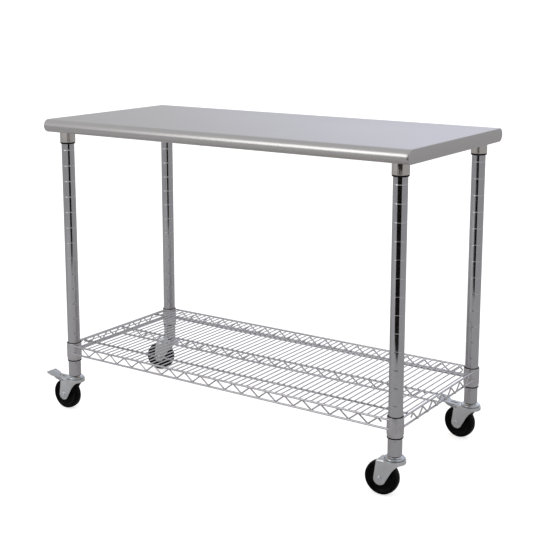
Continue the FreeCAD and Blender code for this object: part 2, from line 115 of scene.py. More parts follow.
class CartPosts(bpy.types.PropertyGroup):
    groove_pitch: bpy.props.FloatProperty(
        name="Groove Pitch", description="Distance between the ring grooves of a post",
        default=47.6 * MM, min=20 * MM, max=60 * MM, unit="LENGTH")
    groove_first: bpy.props.FloatProperty(
        name="Highest Groove", description="Height of the highest ring groove above the floor",
        default=870.2 * MM, min=0.5, max=0.9, unit="LENGTH")
    groove_depth: bpy.props.FloatProperty(
        name="Groove Depth", description="Depth of a ring groove",
        default=0.3 * MM, min=0.2 * MM, max=1.5 * MM, unit="LENGTH")
    colour: bpy.props.FloatVectorProperty(
        name="Chrome", description="Colour of the chromed tube", subtype="COLOR", size=3,
        default=(0.605, 0.61, 0.63), min=0, max=1)


class CartShelf(bpy.types.PropertyGroup):
    rail_radius: bpy.props.FloatProperty(
        name="Rail Radius", description="Radius of the rails and stringers",
        default=2.8 * MM, min=1.5 * MM, max=4 * MM, unit="LENGTH")
    zigzag_radius: bpy.props.FloatProperty(
        name="Zigzag Radius", description="Radius of the zigzag wires",
        default=2.1 * MM, min=1 * MM, max=3 * MM, unit="LENGTH")
    deck_radius: bpy.props.FloatProperty(
        name="Deck Wire Radius", description="Radius of the cross wires",
        default=1.8 * MM, min=1 * MM, max=3 * MM, unit="LENGTH")
    deck_pitch: bpy.props.FloatProperty(
        name="Deck Wire Pitch", description="Distance between cross wires",
        default=19.17 * MM, min=15 * MM, max=30 * MM, unit="LENGTH")
    colour: bpy.props.FloatVectorProperty(
        name="Wire", description="Colour of the plated wire", subtype="COLOR", size=3,
        default=(0.61, 0.61, 0.64), min=0, max=1)


class CartCasters(bpy.types.PropertyGroup):
    tread_round: bpy.props.FloatProperty(
        name="Tread Round", description="Rounding of the tread's edges",
        default=5.5 * MM, min=1 * MM, max=9 * MM, unit="LENGTH")
    zinc: bpy.props.FloatVectorProperty(
        name="Zinc", description="Colour of the plated forks and pedals", subtype="COLOR", size=3,
        default=(0.76, 0.785, 0.8), min=0, max=1)
    black: bpy.props.FloatVectorProperty(
        name="Wheel Black", description="Colour of the wheels", subtype="COLOR", size=3,
        default=(0.001, 0.0008, 0.001), min=0, max=1)


class CartStage(bpy.types.PropertyGroup):
    floor_size: bpy.props.FloatProperty(
        name="Floor Size", description="Side of the pale floor",
        default=16.0, min=4, max=40, unit="LENGTH")
    softbox: bpy.props.FloatProperty(
        name="Softbox", description="Power of the soft light in front of the cart, to the left",
        default=15, min=0, max=500, subtype="POWER")
    surround: bpy.props.FloatProperty(
        name="Surround", description="Brightness of the studio's soft surround",
        default=0.6, min=0, max=3)


# ---- shader helpers -----------------------------------------------------------------------
def fed_node(tree, kind, settings, inputs):
    """Add a node to a tree, set it, and feed its sockets with values or links."""
    node = tree.nodes.new(kind)
    for key, value in (settings or {}).items():
        setattr(node, key, value)
    for key, value in (inputs or {}).items():
        value = getattr(value, "socket", value)
        if isinstance(value, bpy.types.NodeSocket):
            tree.links.new(value, node.inputs[key])
        else:
            node.inputs[key].default_value = value
    return node


class Value:
    """A socket of a material, on which arithmetic adds Math nodes."""

    def __init__(self, net, socket):
        self.net = net
        self.socket = socket

    def _math(self, operation, first, second=None):
        inputs = {0: first} if second is None else {0: first, 1: second}
        return self.net.add("ShaderNodeMath", {"operation": operation}, inputs)

    def __add__(self, other):
        return self._math("ADD", self, other)

    def __radd__(self, other):
        return self._math("ADD", other, self)

    def __sub__(self, other):
        return self._math("SUBTRACT", self, other)

    def __rsub__(self, other):
        return self._math("SUBTRACT", other, self)

    def __mul__(self, other):
        return self._math("MULTIPLY", self, other)

    def __rmul__(self, other):
        return self._math("MULTIPLY", other, self)

    def __abs__(self):
        return self._math("ABSOLUTE", self)

    def __gt__(self, other):
        return self._math("GREATER_THAN", self, other)


class Net:
    """The node tree of a new material or of the world."""

    def __init__(self, owner):
        owner.use_nodes = True
        self.tree = owner.node_tree
        self.tree.nodes.clear()

    def add(self, kind, settings=None, inputs=None, out=0):
        """Add a node and return one output as a value."""
        return Value(self, fed_node(self.tree, kind, settings, inputs).outputs[out])

    def mix(self, factor, first, second):
        """Mix two colours."""
        settings = {"data_type": "RGBA"}
        return self.add("ShaderNodeMix", settings, {0: factor, 6: first, 7: second}, 2)

    def coordinates(self, scale=(1, 1, 1)):
        """The piece's own coordinates in metres, stretched."""
        place = self.add("ShaderNodeTexCoord", out=3)
        return self.add("ShaderNodeMapping", None, {"Vector": place, "Scale": scale})

    def noise(self, vector, scale, detail=3.0):
        """A noise value about 0.5."""
        return self.add("ShaderNodeTexNoise", None,
                        {"Vector": vector, "Scale": scale, "Detail": detail})

    def output(self, shader):
        """End the tree."""
        self.add_end("ShaderNodeOutputMaterial", shader)

    def add_end(self, kind, shader):
        end = self.tree.nodes.new(kind)
        self.tree.links.new(shader.socket, end.inputs[0])


def rgba(colour, gain=1.0):
    """A colour with an alpha, brightened by a gain."""
    return (colour[0] * gain, colour[1] * gain, colour[2] * gain, 1.0)


def plated(name, colour, roughness, grain=0.04, grain_scale=900.0, bump=0.02, mottle=0.06):
    """A plated or polished metal: fine grain in the roughness, slow mottle in the colour."""
    if name in bpy.data.materials:
        return bpy.data.materials[name]
    material = bpy.data.materials.new(name)
    net = Net(material)
    fine = net.noise(net.coordinates(), grain_scale, 2.0)
    slow = net.noise(net.coordinates(), 45.0, 3.0)
    tint = net.mix(slow, rgba(colour, 1 - mottle), rgba(colour, 1 + mottle))
    normal = net.add("ShaderNodeBump", None,
                     {"Strength": bump, "Distance": 0.0003, "Height": fine})
    inputs = {"Base Color": tint, "Metallic": 1.0, "Normal": normal,
              "Roughness": roughness - grain / 2 + grain * fine + 0.03 * slow}
    net.output(net.add("ShaderNodeBsdfPrincipled", None, inputs))
    return material


def brushed_steel(settings):
    """Brushed sheet: lines along the length, and along the depth on the two flat ends."""
    name = "brushed_steel"
    if name in bpy.data.materials:
        return bpy.data.materials[name]
    material = bpy.data.materials.new(name)
    net = Net(material)
    along = net.noise(net.coordinates((9, 1500, 1500)), 1.0, 4.0)
    across = net.noise(net.coordinates((1500, 9, 1500)), 1.0, 4.0)
    facing = net.add("ShaderNodeSeparateXYZ", None, {0: net.add("ShaderNodeNewGeometry", out=1)})
    on_end = abs(facing) > 0.8
    lines = along + on_end * (across - along)
    smear = net.noise(net.coordinates((2.2, 5, 5)), 1.0, 2.0)
    tint = net.mix(lines, rgba(settings.colour, 0.9), rgba(settings.colour, 1.08))
    normal = net.add("ShaderNodeBump", None, {"Strength": 0.07, "Distance": 0.0002, "Height": lines})
    inputs = {"Base Color": tint, "Metallic": 1.0, "Normal": normal,
              "Roughness": 0.24 + 0.1 * lines + 0.06 * smear}
    net.output(net.add("ShaderNodeBsdfPrincipled", None, inputs))
    return material


def moulded(name, colour, roughness, coat=0.0, bump=0.05):
    """A moulded plastic or hard rubber with a faint grain."""
    if name in bpy.data.materials:
        return bpy.data.materials[name]
    material = bpy.data.materials.new(name)
    net = Net(material)
    fine = net.noise(net.coordinates(), 700.0, 4.0)
    slow = net.noise(net.coordinates(), 60.0, 2.0)
    tint = net.mix(slow, rgba(colour, 0.75), rgba(colour, 1.35))
    normal = net.add("ShaderNodeBump", None,
                     {"Strength": bump, "Distance": 0.0003, "Height": fine})
    inputs = {"Base Color": tint, "Normal": normal, "Coat Weight": coat,
              "Specular IOR Level": 0.08, "Roughness": roughness - 0.05 + 0.1 * fine}
    net.output(net.add("ShaderNodeBsdfPrincipled", None, inputs))
    return material


def chip_board(name):
    """Raw particle board: pale and dark chips."""
    material = bpy.data.materials.new(name)
    net = Net(material)
    chips = net.add("ShaderNodeTexVoronoi", None,
                    {"Vector": net.coordinates((1, 1, 2.5)), "Scale": 260.0}, 1)
    grey = net.add("ShaderNodeSeparateColor", None, {0: chips})
    tint = net.mix(grey, (0.36, 0.24, 0.13, 1), (0.62, 0.47, 0.29, 1))
    normal = net.add("ShaderNodeBump", None, {"Strength": 0.3, "Distance": 0.0004, "Height": grey})
    inputs = {"Base Color": tint, "Normal": normal, "Roughness": 0.75 + 0.15 * grey}
    net.output(net.add("ShaderNodeBsdfPrincipled", None, inputs))
    return material


# ---- mesh helpers -------------------------------------------------------------------------
def piece_from(name, mesh, material, sharp=32.0):
    """An object in the scene with smooth shading and edges kept sharp past an angle."""
    mesh.name = name
    mesh.materials.clear()
    mesh.materials.append(material)
    mesh.polygons.foreach_set("use_smooth", [True] * len(mesh.polygons))
    mesh.polygons.foreach_set("material_index", [0] * len(mesh.polygons))
    mesh.set_sharp_from_angle(angle=math.radians(sharp))
    mesh.update()
    piece = bpy.data.objects.new(name, mesh)
    bpy.context.scene.collection.objects.link(piece)
    return piece


def settle(piece, body, slot, *nodes):
    """Join a finished piece to its body and hide the frame nodes it stands for; the slot is not used."""
    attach(piece, body)
    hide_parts(*nodes)


def baked(piece):
    """Turn a piece with modifiers into a plain mesh and drop the working object."""
    evaluated = piece.evaluated_get(bpy.context.evaluated_depsgraph_get())
    mesh = bpy.data.meshes.new_from_object(evaluated)
    bpy.data.objects.remove(piece)
    return mesh


def with_modifier(mesh, kind, **settings):
    """The mesh after one modifier."""
    working = bpy.data.objects.new("working", mesh)
    bpy.context.scene.collection.objects.link(working)
    modifier = working.modifiers.new("step", kind)
    for key, value in settings.items():
        setattr(modifier, key, value)
    return baked(working)


def cut_away(mesh, tool):
    """The mesh less a second mesh."""
    cutter = bpy.data.objects.new("cutter", tool)
    bpy.context.scene.collection.objects.link(cutter)
    result = with_modifier(mesh, "BOOLEAN", operation="DIFFERENCE", solver="EXACT", object=cutter)
    bpy.data.objects.remove(cutter)
    return result


def joined(meshes):
    """Several meshes as one."""
    form = bmesh.new()
    for mesh in meshes:
        form.from_mesh(mesh)
    result = bpy.data.meshes.new("joined")
    form.to_mesh(result)
    form.free()
    return result


def placed(mesh, matrix):
    """A copy of a mesh, moved."""
    copy = mesh.copy()
    copy.transform(matrix)
    return copy


def at_post(mesh, corner):
    """Take a mesh made about the Z axis to a corner's post."""
    return placed(mesh, Matrix.Translation(post_axis(corner)))


def lathe(outline, segments=96, arc=360.0, start=0.0):
    """A solid turned about Z from (radius, height) points in metres."""
    form = bmesh.new()
    rings = []
    full = arc >= 360.0
    count = segments if full else segments + 1
    for step in range(count):
        angle = math.radians(start + arc * step / segments)
        ring = []
        for radius, height in outline:
            ring.append(form.verts.new((radius * math.cos(angle), radius * math.sin(angle), height)))
        rings.append(ring)
    size = len(outline)
    for step in range(segments):
        here = rings[step]
        there = rings[(step + 1) % count]
        for index in range(size):
            after = (index + 1) % size
            form.faces.new((here[index], there[index], there[after], here[after]))
    if not full:
        form.faces.new(rings[0])
        form.faces.new(list(reversed(rings[-1])))
    bmesh.ops.remove_doubles(form, verts=form.verts, dist=1e-6)
    bmesh.ops.recalc_face_normals(form, faces=form.faces)
    mesh = bpy.data.meshes.new("lathe")
    form.to_mesh(mesh)
    form.free()
    return mesh


def fillet(corner, radius, start, stop, steps=6):
    """Points of an arc about a centre, angles in degrees."""
    points = []
    for step in range(steps + 1):
        angle = math.radians(start + (stop - start) * step / steps)
        points.append((corner[0] + radius * math.cos(angle), corner[1] + radius * math.sin(angle)))
    return points


def refined(node, bevel=0.35 * MM, segments=2):
    """A frame node's shape merged, its flat faces made whole and its edges eased."""
    form = bmesh.new()
    form.from_mesh(frame["nodes"][node].data)
    bmesh.ops.remove_doubles(form, verts=form.verts, dist=2e-6)
    bmesh.ops.dissolve_limit(form, angle_limit=math.radians(0.5), verts=form.verts, edges=form.edges)
    mesh = bpy.data.meshes.new("refined")
    form.to_mesh(mesh)
    form.free()
    if bevel:
        mesh = with_modifier(mesh, "BEVEL", width=bevel, segments=segments, limit_method="ANGLE",
                             angle_limit=math.radians(45), use_clamp_overlap=True)
    return mesh


# ---- geometry node trees ------------------------------------------------------------------
class Tree:
    """A geometry node tree with named inputs."""

    def __init__(self, name, inputs):
        self.group = bpy.data.node_groups.new(name, "GeometryNodeTree")
        face = self.group.interface
        face.new_socket("Geometry", in_out="OUTPUT", socket_type="NodeSocketGeometry")
        for label, kind, default in inputs:
            item = face.new_socket(label, in_out="INPUT", socket_type="NodeSocket" + kind)
            if default is not None:
                item.default_value = default
        self.start = self.group.nodes.new("NodeGroupInput")

    def value(self, label):
        """One of the named inputs."""
        return self.start.outputs[label]

    def add(self, kind, settings=None, inputs=None, out=0):
        """Add a node and return one output."""
        return fed_node(self.group, kind, settings, inputs).outputs[out]

    def math(self, operation, first, second=0.0):
        return self.add("ShaderNodeMath", {"operation": operation}, {0: first, 1: second})

    def vector(self, x=0.0, y=0.0, z=0.0):
        return self.add("ShaderNodeCombineXYZ", None, {0: x, 1: y, 2: z})

    def swept(self, curve, radius, sides):
        """A round bar along a curve, with closed ends; the radius may vary along it."""
        circle = self.add("GeometryNodeCurvePrimitiveCircle", None, {"Resolution": sides, "Radius": 1.0})
        return self.add("GeometryNodeCurveToMesh", None,
                        {"Curve": curve, "Profile Curve": circle, "Scale": radius, "Fill Caps": True})

    def line(self, start, end):
        """A straight curve."""
        return self.add("GeometryNodeCurvePrimitiveLine", None, {"Start": start, "End": end})

    def join(self, parts):
        node = self.group.nodes.new("GeometryNodeJoinGeometry")
        for part in parts:
            self.group.links.new(part, node.inputs[0])
        return node.outputs[0]

    def end(self, geometry, material):
        """Realize, give the material and close the tree."""
        real = self.add("GeometryNodeRealizeInstances", None, {0: geometry})
        done = self.add("GeometryNodeSetMaterial", None, {"Geometry": real, "Material": material})
        finish = self.group.nodes.new("NodeGroupOutput")
        self.group.links.new(done, finish.inputs[0])
        return self.group


def grown(group, values, points=None):
    """The plain mesh that a tree makes from its named values."""
    mesh = bpy.data.meshes.new("seed")
    if points:
        mesh.from_pydata(points, [], [])
    working = bpy.data.objects.new("working", mesh)
    bpy.context.scene.collection.objects.link(working)
    modifier = working.modifiers.new("tree", "NODES")
    modifier.node_group = group
    sockets = {item.name: item.identifier for item in group.interface.items_tree
               if item.in_out == "INPUT"}
    for label, value in values.items():
        modifier[sockets[label]] = value
    return baked(working)


def truss_tree(material):
    """Two rails along X at two heights and a bent zigzag wire beside them."""
    tree = Tree("Truss", (
        ("Geometry", "Geometry", None), ("Rail Reach", "Float", 0.55), ("Top", "Float", 0.2),
        ("Low", "Float", 0.18), ("Peak", "Float", 0.2), ("Half Pitch", "Float", 0.028),
        ("Steps", "Int", 18), ("Tail", "Float", 0.011), ("Beside", "Float", 0.005),
        ("Bend", "Float", 0.004), ("Rail Radius", "Float", 0.0028),
        ("Zigzag Radius", "Float", 0.0021)))
    reach = tree.value("Rail Reach")
    back = tree.math("MULTIPLY", reach, -1.0)
    rails = []
    for height in (tree.value("Top"), tree.value("Low")):
        line = tree.line(tree.vector(back, 0.0, height), tree.vector(reach, 0.0, height))
        rails.append(tree.swept(line, tree.value("Rail Radius"), 16))
    steps = tree.value("Steps")
    count = tree.math("ADD", tree.math("MULTIPLY", steps, 2.0), 3.0)
    points = tree.add("GeometryNodeMeshLine", None, {"Count": count, "Offset": (1, 0, 0)})
    index = tree.add("GeometryNodeInputIndex")
    step = tree.math("SUBTRACT", tree.math("SUBTRACT", index, steps), 1.0)
    odd = tree.math("MODULO", tree.math("ABSOLUTE", step), 2.0)
    inner = tree.math("MULTIPLY", step, tree.value("Half Pitch"))
    edge = tree.math("MULTIPLY", tree.math("SIGN", step),
                     tree.math("ADD", tree.math("MULTIPLY", steps, tree.value("Half Pitch")),
                               tree.value("Tail")))
    outside = tree.math("GREATER_THAN", tree.math("ABSOLUTE", step), steps)
    drop = tree.math("SUBTRACT", tree.value("Peak"), tree.value("Low"))
    tail_drop = tree.math("DIVIDE", tree.math("MULTIPLY", drop, tree.value("Tail")),
                          tree.value("Half Pitch"))
    x = tree.math("ADD", tree.math("MULTIPLY", inner, tree.math("SUBTRACT", 1.0, outside)),
                  tree.math("MULTIPLY", edge, outside))
    fall = tree.math("ADD", tree.math("MULTIPLY", tree.math("MULTIPLY", odd, drop),
                                      tree.math("SUBTRACT", 1.0, outside)),
                     tree.math("MULTIPLY", tail_drop, outside))
    z = tree.math("SUBTRACT", tree.value("Peak"), fall)
    moved = tree.add("GeometryNodeSetPosition", None,
                     {"Geometry": points, "Position": tree.vector(x, tree.value("Beside"), z)})
    curve = tree.add("GeometryNodeMeshToCurve", None, {0: moved})
    bent = tree.add("GeometryNodeFilletCurve", {"mode": "POLY"},
                    {"Curve": curve, "Radius": tree.value("Bend"), "Count": 5, "Limit Radius": True})
    zigzag = tree.swept(bent, tree.value("Zigzag Radius"), 12)
    return tree.end(tree.join(rails + [zigzag]), material)


def deck_tree(material):
    """Cross wires at a pitch along X; the outermost few are shorter."""
    tree = Tree("Deck Wires", (
        ("Geometry", "Geometry", None), ("Count", "Int", 60), ("Pitch", "Float", 0.019),
        ("Reach", "Float", 0.25), ("Short Reach", "Float", 0.206), ("Full Half", "Float", 0.537),
        ("Middle", "Float", 0.028), ("Height", "Float", 0.2135), ("Radius", "Float", 0.0018)))
    count = tree.value("Count")
    middle = tree.math("DIVIDE", tree.math("SUBTRACT", count, 1.0), 2.0)
    offset = tree.vector(tree.value("Pitch"))
    points = tree.add("GeometryNodeMeshLine", None, {"Count": count, "Offset": offset})
    index = tree.add("GeometryNodeInputIndex")
    x = tree.math("MULTIPLY", tree.math("SUBTRACT", index, middle), tree.value("Pitch"))
    place = tree.vector(tree.math("ADD", x, tree.value("Middle")), 0.0, tree.value("Height"))
    set_out = tree.add("GeometryNodeSetPosition", None, {"Geometry": points, "Position": place})
    half = tree.value("Reach")
    line = tree.line(tree.vector(0.0, tree.math("MULTIPLY", half, -1.0), 0.0), tree.vector(0.0, half, 0.0))
    wire = tree.swept(line, tree.value("Radius"), 12)
    short = tree.math("GREATER_THAN", tree.math("ABSOLUTE", x), tree.value("Full Half"))
    share = tree.math("DIVIDE", tree.value("Short Reach"), half)
    stretch = tree.math("SUBTRACT", 1.0, tree.math("MULTIPLY", short, tree.math("SUBTRACT", 1.0, share)))
    wires = tree.add("GeometryNodeInstanceOnPoints", None,
                     {"Points": set_out, "Instance": wire, "Scale": tree.vector(1.0, stretch, 1.0)})
    return tree.end(wires, material)


def post_tree(material):
    """A round tube whose wall dips in a ring groove at each pitch."""
    tree = Tree("Grooved Post", (
        ("Geometry", "Geometry", None), ("Radius", "Float", 0.019), ("Top", "Float", 0.889),
        ("Foot", "Float", 0.1144), ("Grooves", "Int", 16), ("First", "Float", 0.87),
        ("Pitch", "Float", 0.0476), ("Depth", "Float", 0.00055), ("Half Width", "Float", 0.0013)))
    rows = 8.0
    grooves = tree.value("Grooves")
    count = tree.math("ADD", tree.math("MULTIPLY", grooves, rows), 2.0)
    points = tree.add("GeometryNodeMeshLine", None, {"Count": count, "Offset": (0, 0, 1)})
    index = tree.add("GeometryNodeInputIndex")
    inner = tree.math("SUBTRACT", index, 1.0)
    groove = tree.math("FLOOR", tree.math("DIVIDE", inner, rows))
    row = tree.math("SUBTRACT", inner, tree.math("MULTIPLY", groove, rows))
    share = tree.math("MULTIPLY", tree.math("SUBTRACT", row, (rows - 1) / 2), 0.43)
    centre = tree.math("SUBTRACT", tree.value("First"), tree.math("MULTIPLY", groove, tree.value("Pitch")))
    z_row = tree.math("SUBTRACT", centre, tree.math("MULTIPLY", share, tree.value("Half Width")))
    curve_in = tree.math("SUBTRACT", 1.0, tree.math("POWER", tree.math("ABSOLUTE", share), 1.6))
    dip = tree.math("MAXIMUM", curve_in, 0.0)
    is_top = tree.math("LESS_THAN", index, 0.5)
    is_foot = tree.math("GREATER_THAN", index, tree.math("SUBTRACT", count, 1.5))
    is_end = tree.math("ADD", is_top, is_foot)
    z_end = tree.math("ADD", tree.math("MULTIPLY", is_top, tree.value("Top")),
                      tree.math("MULTIPLY", is_foot, tree.value("Foot")))
    keep = tree.math("SUBTRACT", 1.0, is_end)
    z = tree.math("ADD", tree.math("MULTIPLY", z_row, keep), z_end)
    depth = tree.math("MULTIPLY", tree.math("MULTIPLY", dip, keep), tree.value("Depth"))
    moved = tree.add("GeometryNodeSetPosition", None,
                     {"Geometry": points, "Position": tree.vector(0.0, 0.0, z)})
    curve = tree.add("GeometryNodeMeshToCurve", None, {0: moved})
    radius = tree.math("SUBTRACT", tree.value("Radius"), depth)
    return tree.end(tree.swept(curve, radius, 72), material)


def ball_tree(material):
    """A ball on every point."""
    tree = Tree("Ball Race", (("Geometry", "Geometry", None), ("Radius", "Float", 0.0029)))
    ball = tree.add("GeometryNodeMeshUVSphere", None,
                    {"Segments": 16, "Rings": 10, "Radius": tree.value("Radius")})
    balls = tree.add("GeometryNodeInstanceOnPoints", None,
                     {"Points": tree.value("Geometry"), "Instance": ball})
    return tree.end(balls, material)


# ---- pieces -------------------------------------------------------------------------------
def nose_ring(half_flat, radius, middle, inset, steps):
    """(y, z) points of the worktop's section: flat above and below, half round at both edges."""
    r = radius - inset
    front = fillet((-half_flat, middle), r, 90, 270, steps)
    back = fillet((half_flat, middle), r, -90, 90, steps)
    return front + back


def eased(away, radius):
    """How far a rounded edge has drawn back at a distance from the end."""
    if away >= radius:
        return 0.0
    return radius - math.sqrt(radius * radius - (radius - away) ** 2)


def nose_bar(middle, half_length, rings, half_flat, radius, steps=20):
    """A bar along X through rings of (distance from the end, inset, narrowing)."""
    stations = [(-half_length + away, inset, narrow) for away, inset, narrow in rings]
    stations += [(half_length - away, inset, narrow) for away, inset, narrow in reversed(rings)]
    form = bmesh.new()
    loops = []
    for x, inset, narrow in stations:
        section = nose_ring(half_flat - narrow, radius, middle.z, inset, steps)
        loops.append([form.verts.new((middle.x + x, y, z)) for y, z in section])
    size = len(loops[0])
    for here, there in zip(loops, loops[1:]):
        for index in range(size):
            after = (index + 1) % size
            form.faces.new((here[index], there[index], there[after], here[after]))
    form.faces.new(loops[0])
    form.faces.new(loops[-1])
    bmesh.ops.recalc_face_normals(form, faces=form.faces)
    mesh = bpy.data.meshes.new("nose_bar")
    form.to_mesh(mesh)
    form.free()
    return mesh


def block(low, high):
    """A box mesh used to cut with."""
    form = bmesh.new()
    size = high - low
    matrix = Matrix.Translation((low + high) / 2) @ Matrix.Diagonal((size.x, size.y, size.z, 1))
    bmesh.ops.create_cube(form, size=1.0, matrix=matrix)
    mesh = bpy.data.meshes.new("block")
    form.to_mesh(mesh)
    form.free()
    return mesh


class CART_OT_worktop(bpy.types.Operator):
    """Fold the steel worktop: half-round long edges, flat ends, a seam near each end"""
    bl_idname = "cart.worktop"
    bl_label = "Worktop"

    def execute(self, context):
        settings = context.scene.cart_worktop
        material = brushed_steel(settings)
        size = SKIN_HIGH - SKIN_LOW
        radius = size.z / 2
        half_flat = size.y / 2 - radius
        corner = settings.corner_round
        edge = settings.end_round
        aways = [edge * (1 - math.cos(math.radians(15 * step))) for step in range(7)]
        aways += [corner * share for share in (0.42, 0.55, 0.7, 0.85, 1.0)]
        rings = [(away, eased(away, edge), eased(away, corner)) for away in sorted(aways)]
        for away, inset in ((-0.6, 0), (-0.22, 0.45), (0.22, 0.45), (0.6, 0)):
            rings.append((settings.seam_inset + away * MM, inset * MM, 0))
        outer = nose_bar(TOP_MIDDLE, size.x / 2, rings, half_flat, radius)
        sheet = settings.sheet
        inner = nose_bar(TOP_MIDDLE, size.x / 2, [(sheet, 0, 0)], half_flat, radius - sheet)
        mouth = block(Vector((SKIN_LOW.x + 12 * MM, -half_flat - 2 * MM, SKIN_LOW.z - 1 * MM)),
                      Vector((SKIN_HIGH.x - 12 * MM, half_flat + 2 * MM, TOP_MIDDLE.z)))
        shell = cut_away(cut_away(outer, inner), mouth)
        piece = piece_from("worktop_sheet", shell, material, 28)
        settle(piece, "table", "stainless", "worktop_skin")
        return {"FINISHED"}


class CART_OT_underside(bpy.types.Operator):
    """Finish the board, the channels and the screws under the worktop"""
    bl_idname = "cart.underside"
    bl_label = "Underside"

    def execute(self, context):
        board = frame["nodes"]["worktop_board"]
        board.data.materials.clear()
        board.data.materials.append(chip_board("particle_board"))
        zinc = plated("galvanised", (0.5, 0.51, 0.53), 0.42, 0.1, 300, 0.05, 0.18)
        for side in ("left", "right"):
            mesh = refined(side + "_channel", 0.4 * MM)
            piece = piece_from("hat_channel_" + side, mesh, zinc)
            settle(piece, "table", "galvanised", side + "_channel")
        screws = piece_from("pan_screws", refined("socket_screws", 0.15 * MM),
                            plated("screw_zinc", (0.55, 0.56, 0.58), 0.3))
        settle(screws, "table", "hardware", "socket_screws")
        return {"FINISHED"}


class CART_OT_posts(bpy.types.Operator):
    """Grow the four grooved chrome posts and their foot plugs"""
    bl_idname = "cart.posts"
    bl_label = "Posts"

    def execute(self, context):
        settings = context.scene.cart_posts
        chrome = plated("post_chrome", settings.colour, 0.09, 0.02, 1400, 0.01, 0.03)
        group = post_tree(chrome)
        for corner in CORNERS:
            low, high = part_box(corner + "_post")
            grooves = int((settings.groove_first - low.z - 20 * MM) / settings.groove_pitch) + 1
            mesh = grown(group, {
                "Radius": (high.x - low.x) / 2, "Top": high.z, "Foot": low.z, "Grooves": grooves,
                "First": settings.groove_first, "Pitch": settings.groove_pitch,
                "Depth": settings.groove_depth})
            mesh.transform(Matrix.Translation(post_axis(corner)))
            piece = piece_from("post_tube_" + corner, mesh, chrome, 50)
            settle(piece, "table", "chrome_tube", corner + "_post")
        plugs = frame["nodes"]["post_plugs"]
        plugs.data.materials.clear()
        plugs.data.materials.append(plated("plug_zinc", (0.5, 0.5, 0.5), 0.4))
        return {"FINISHED"}


class CART_OT_sockets(bpy.types.Operator):
    """Turn the satin cast sockets under the worktop, with their screwed flanges"""
    bl_idname = "cart.sockets"
    bl_label = "Sockets"

    def execute(self, context):
        satin = plated("cast_satin", (0.73, 0.7, 0.66), 0.16, 0.07, 500, 0.06, 0.12)
        for corner in CORNERS:
            low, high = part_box(corner + "_socket")
            radius = 22.75 * MM
            bore = COLLAR_BORE
            flange = high.z - 4 * MM
            outline = [(bore, low.z)]
            outline += fillet((radius - 2.2 * MM, low.z + 2.2 * MM), 2.2 * MM, -70, 0)
            outline += fillet((radius + 3 * MM, flange - 3 * MM), 3 * MM, 180, 90)
            outline += [(radius + 3 * MM, flange + 1 * MM), (bore, flange + 1 * MM)]
            cup = at_post(lathe(outline), corner)
            plate = refined(corner + "_socket", 0.5 * MM)
            piece = piece_from("socket_cup_" + corner, joined([cup, plate]), satin)
            settle(piece, "table", "cast_socket", corner + "_socket")
        return {"FINISHED"}


def split_ring(outline):
    """Two half shells of a ring with a thin gap between them."""
    halves = [lathe(outline, 48, 177.0, 1.5), lathe(outline, 48, 177.0, 181.5)]
    return joined(halves)


class CART_OT_sleeves(bpy.types.Operator):
    """Mould the black split sleeves whose lips show at the sockets and shelf collars"""
    bl_idname = "cart.sleeves"
    bl_label = "Sleeves"

    def execute(self, context):
        black = moulded("sleeve_black", (0.004, 0.004, 0.004), 0.5)
        bore = 19.1 * MM
        wall = 20.5 * MM
        low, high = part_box("socket_sleeves")
        lip = 22.4 * MM
        shoulder = low.z + 2.5 * MM
        under = low.z - 1.6 * MM
        outline = [(bore, under), (lip - 1.8 * MM, under), (lip, low.z + 0.4 * MM)]
        outline += [(lip, shoulder), (wall, shoulder), (wall, high.z), (bore, high.z)]
        rings = [at_post(split_ring(outline), corner) for corner in CORNERS]
        piece = piece_from("socket_sleeve_rings", joined(rings), black)
        settle(piece, "table", "black_plastic", "socket_sleeves")
        low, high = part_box("shelf_sleeves")
        top_lip = 21.3 * MM
        foot = wall + 1.1 * MM
        under = low.z - 1.4 * MM
        outline = [(bore, under), (foot, under), (foot, low.z + 1.7 * MM), (wall, low.z + 1.7 * MM),
                   (wall, high.z - 1.4 * MM), (top_lip, high.z - 1.4 * MM), (top_lip, high.z - 0.4 * MM),
                   (top_lip - 0.4 * MM, high.z), (bore, high.z)]
        rings = [at_post(split_ring(outline), corner) for corner in CORNERS]
        piece = piece_from("shelf_sleeve_rings", joined(rings), black)
        settle(piece, "table", "black_plastic", "shelf_sleeves")
        return {"FINISHED"}


class CART_OT_collars(bpy.types.Operator):
    """Turn the shelf's corner collars, drawn in at the foot"""
    bl_idname = "cart.collars"
    bl_label = "Shelf Collars"

    def execute(self, context):
        satin = plated("collar_satin", (0.64, 0.635, 0.65), 0.26, 0.12, 380, 0.12, 0.16)
        for corner in CORNERS:
            low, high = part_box(corner + "_shelf_collar")
            radius = (high.x - low.x) / 2
            bore = COLLAR_BORE
            outline = [(bore, low.z), (bore + 0.5 * MM, low.z), (radius - 0.9 * MM, low.z + 5.2 * MM)]
            outline += fillet((radius - 3 * MM, low.z + 8.6 * MM), 3 * MM, -30, 0, 3)
            outline += fillet((radius - 1 * MM, high.z - 1 * MM), 1 * MM, 0, 90, 4)
            outline += [(bore, high.z)]
            mesh = at_post(lathe(outline), corner)
            piece = piece_from("collar_ring_" + corner, mesh, satin)
            settle(piece, "table", "collar_plate", corner + "_shelf_collar")
        return {"FINISHED"}


def wire_plate(settings):
    """The bright plating on every wire of the shelf."""
    return plated("wire_plate", settings.colour, 0.28, 0.06, 900, 0.03, 0.08)


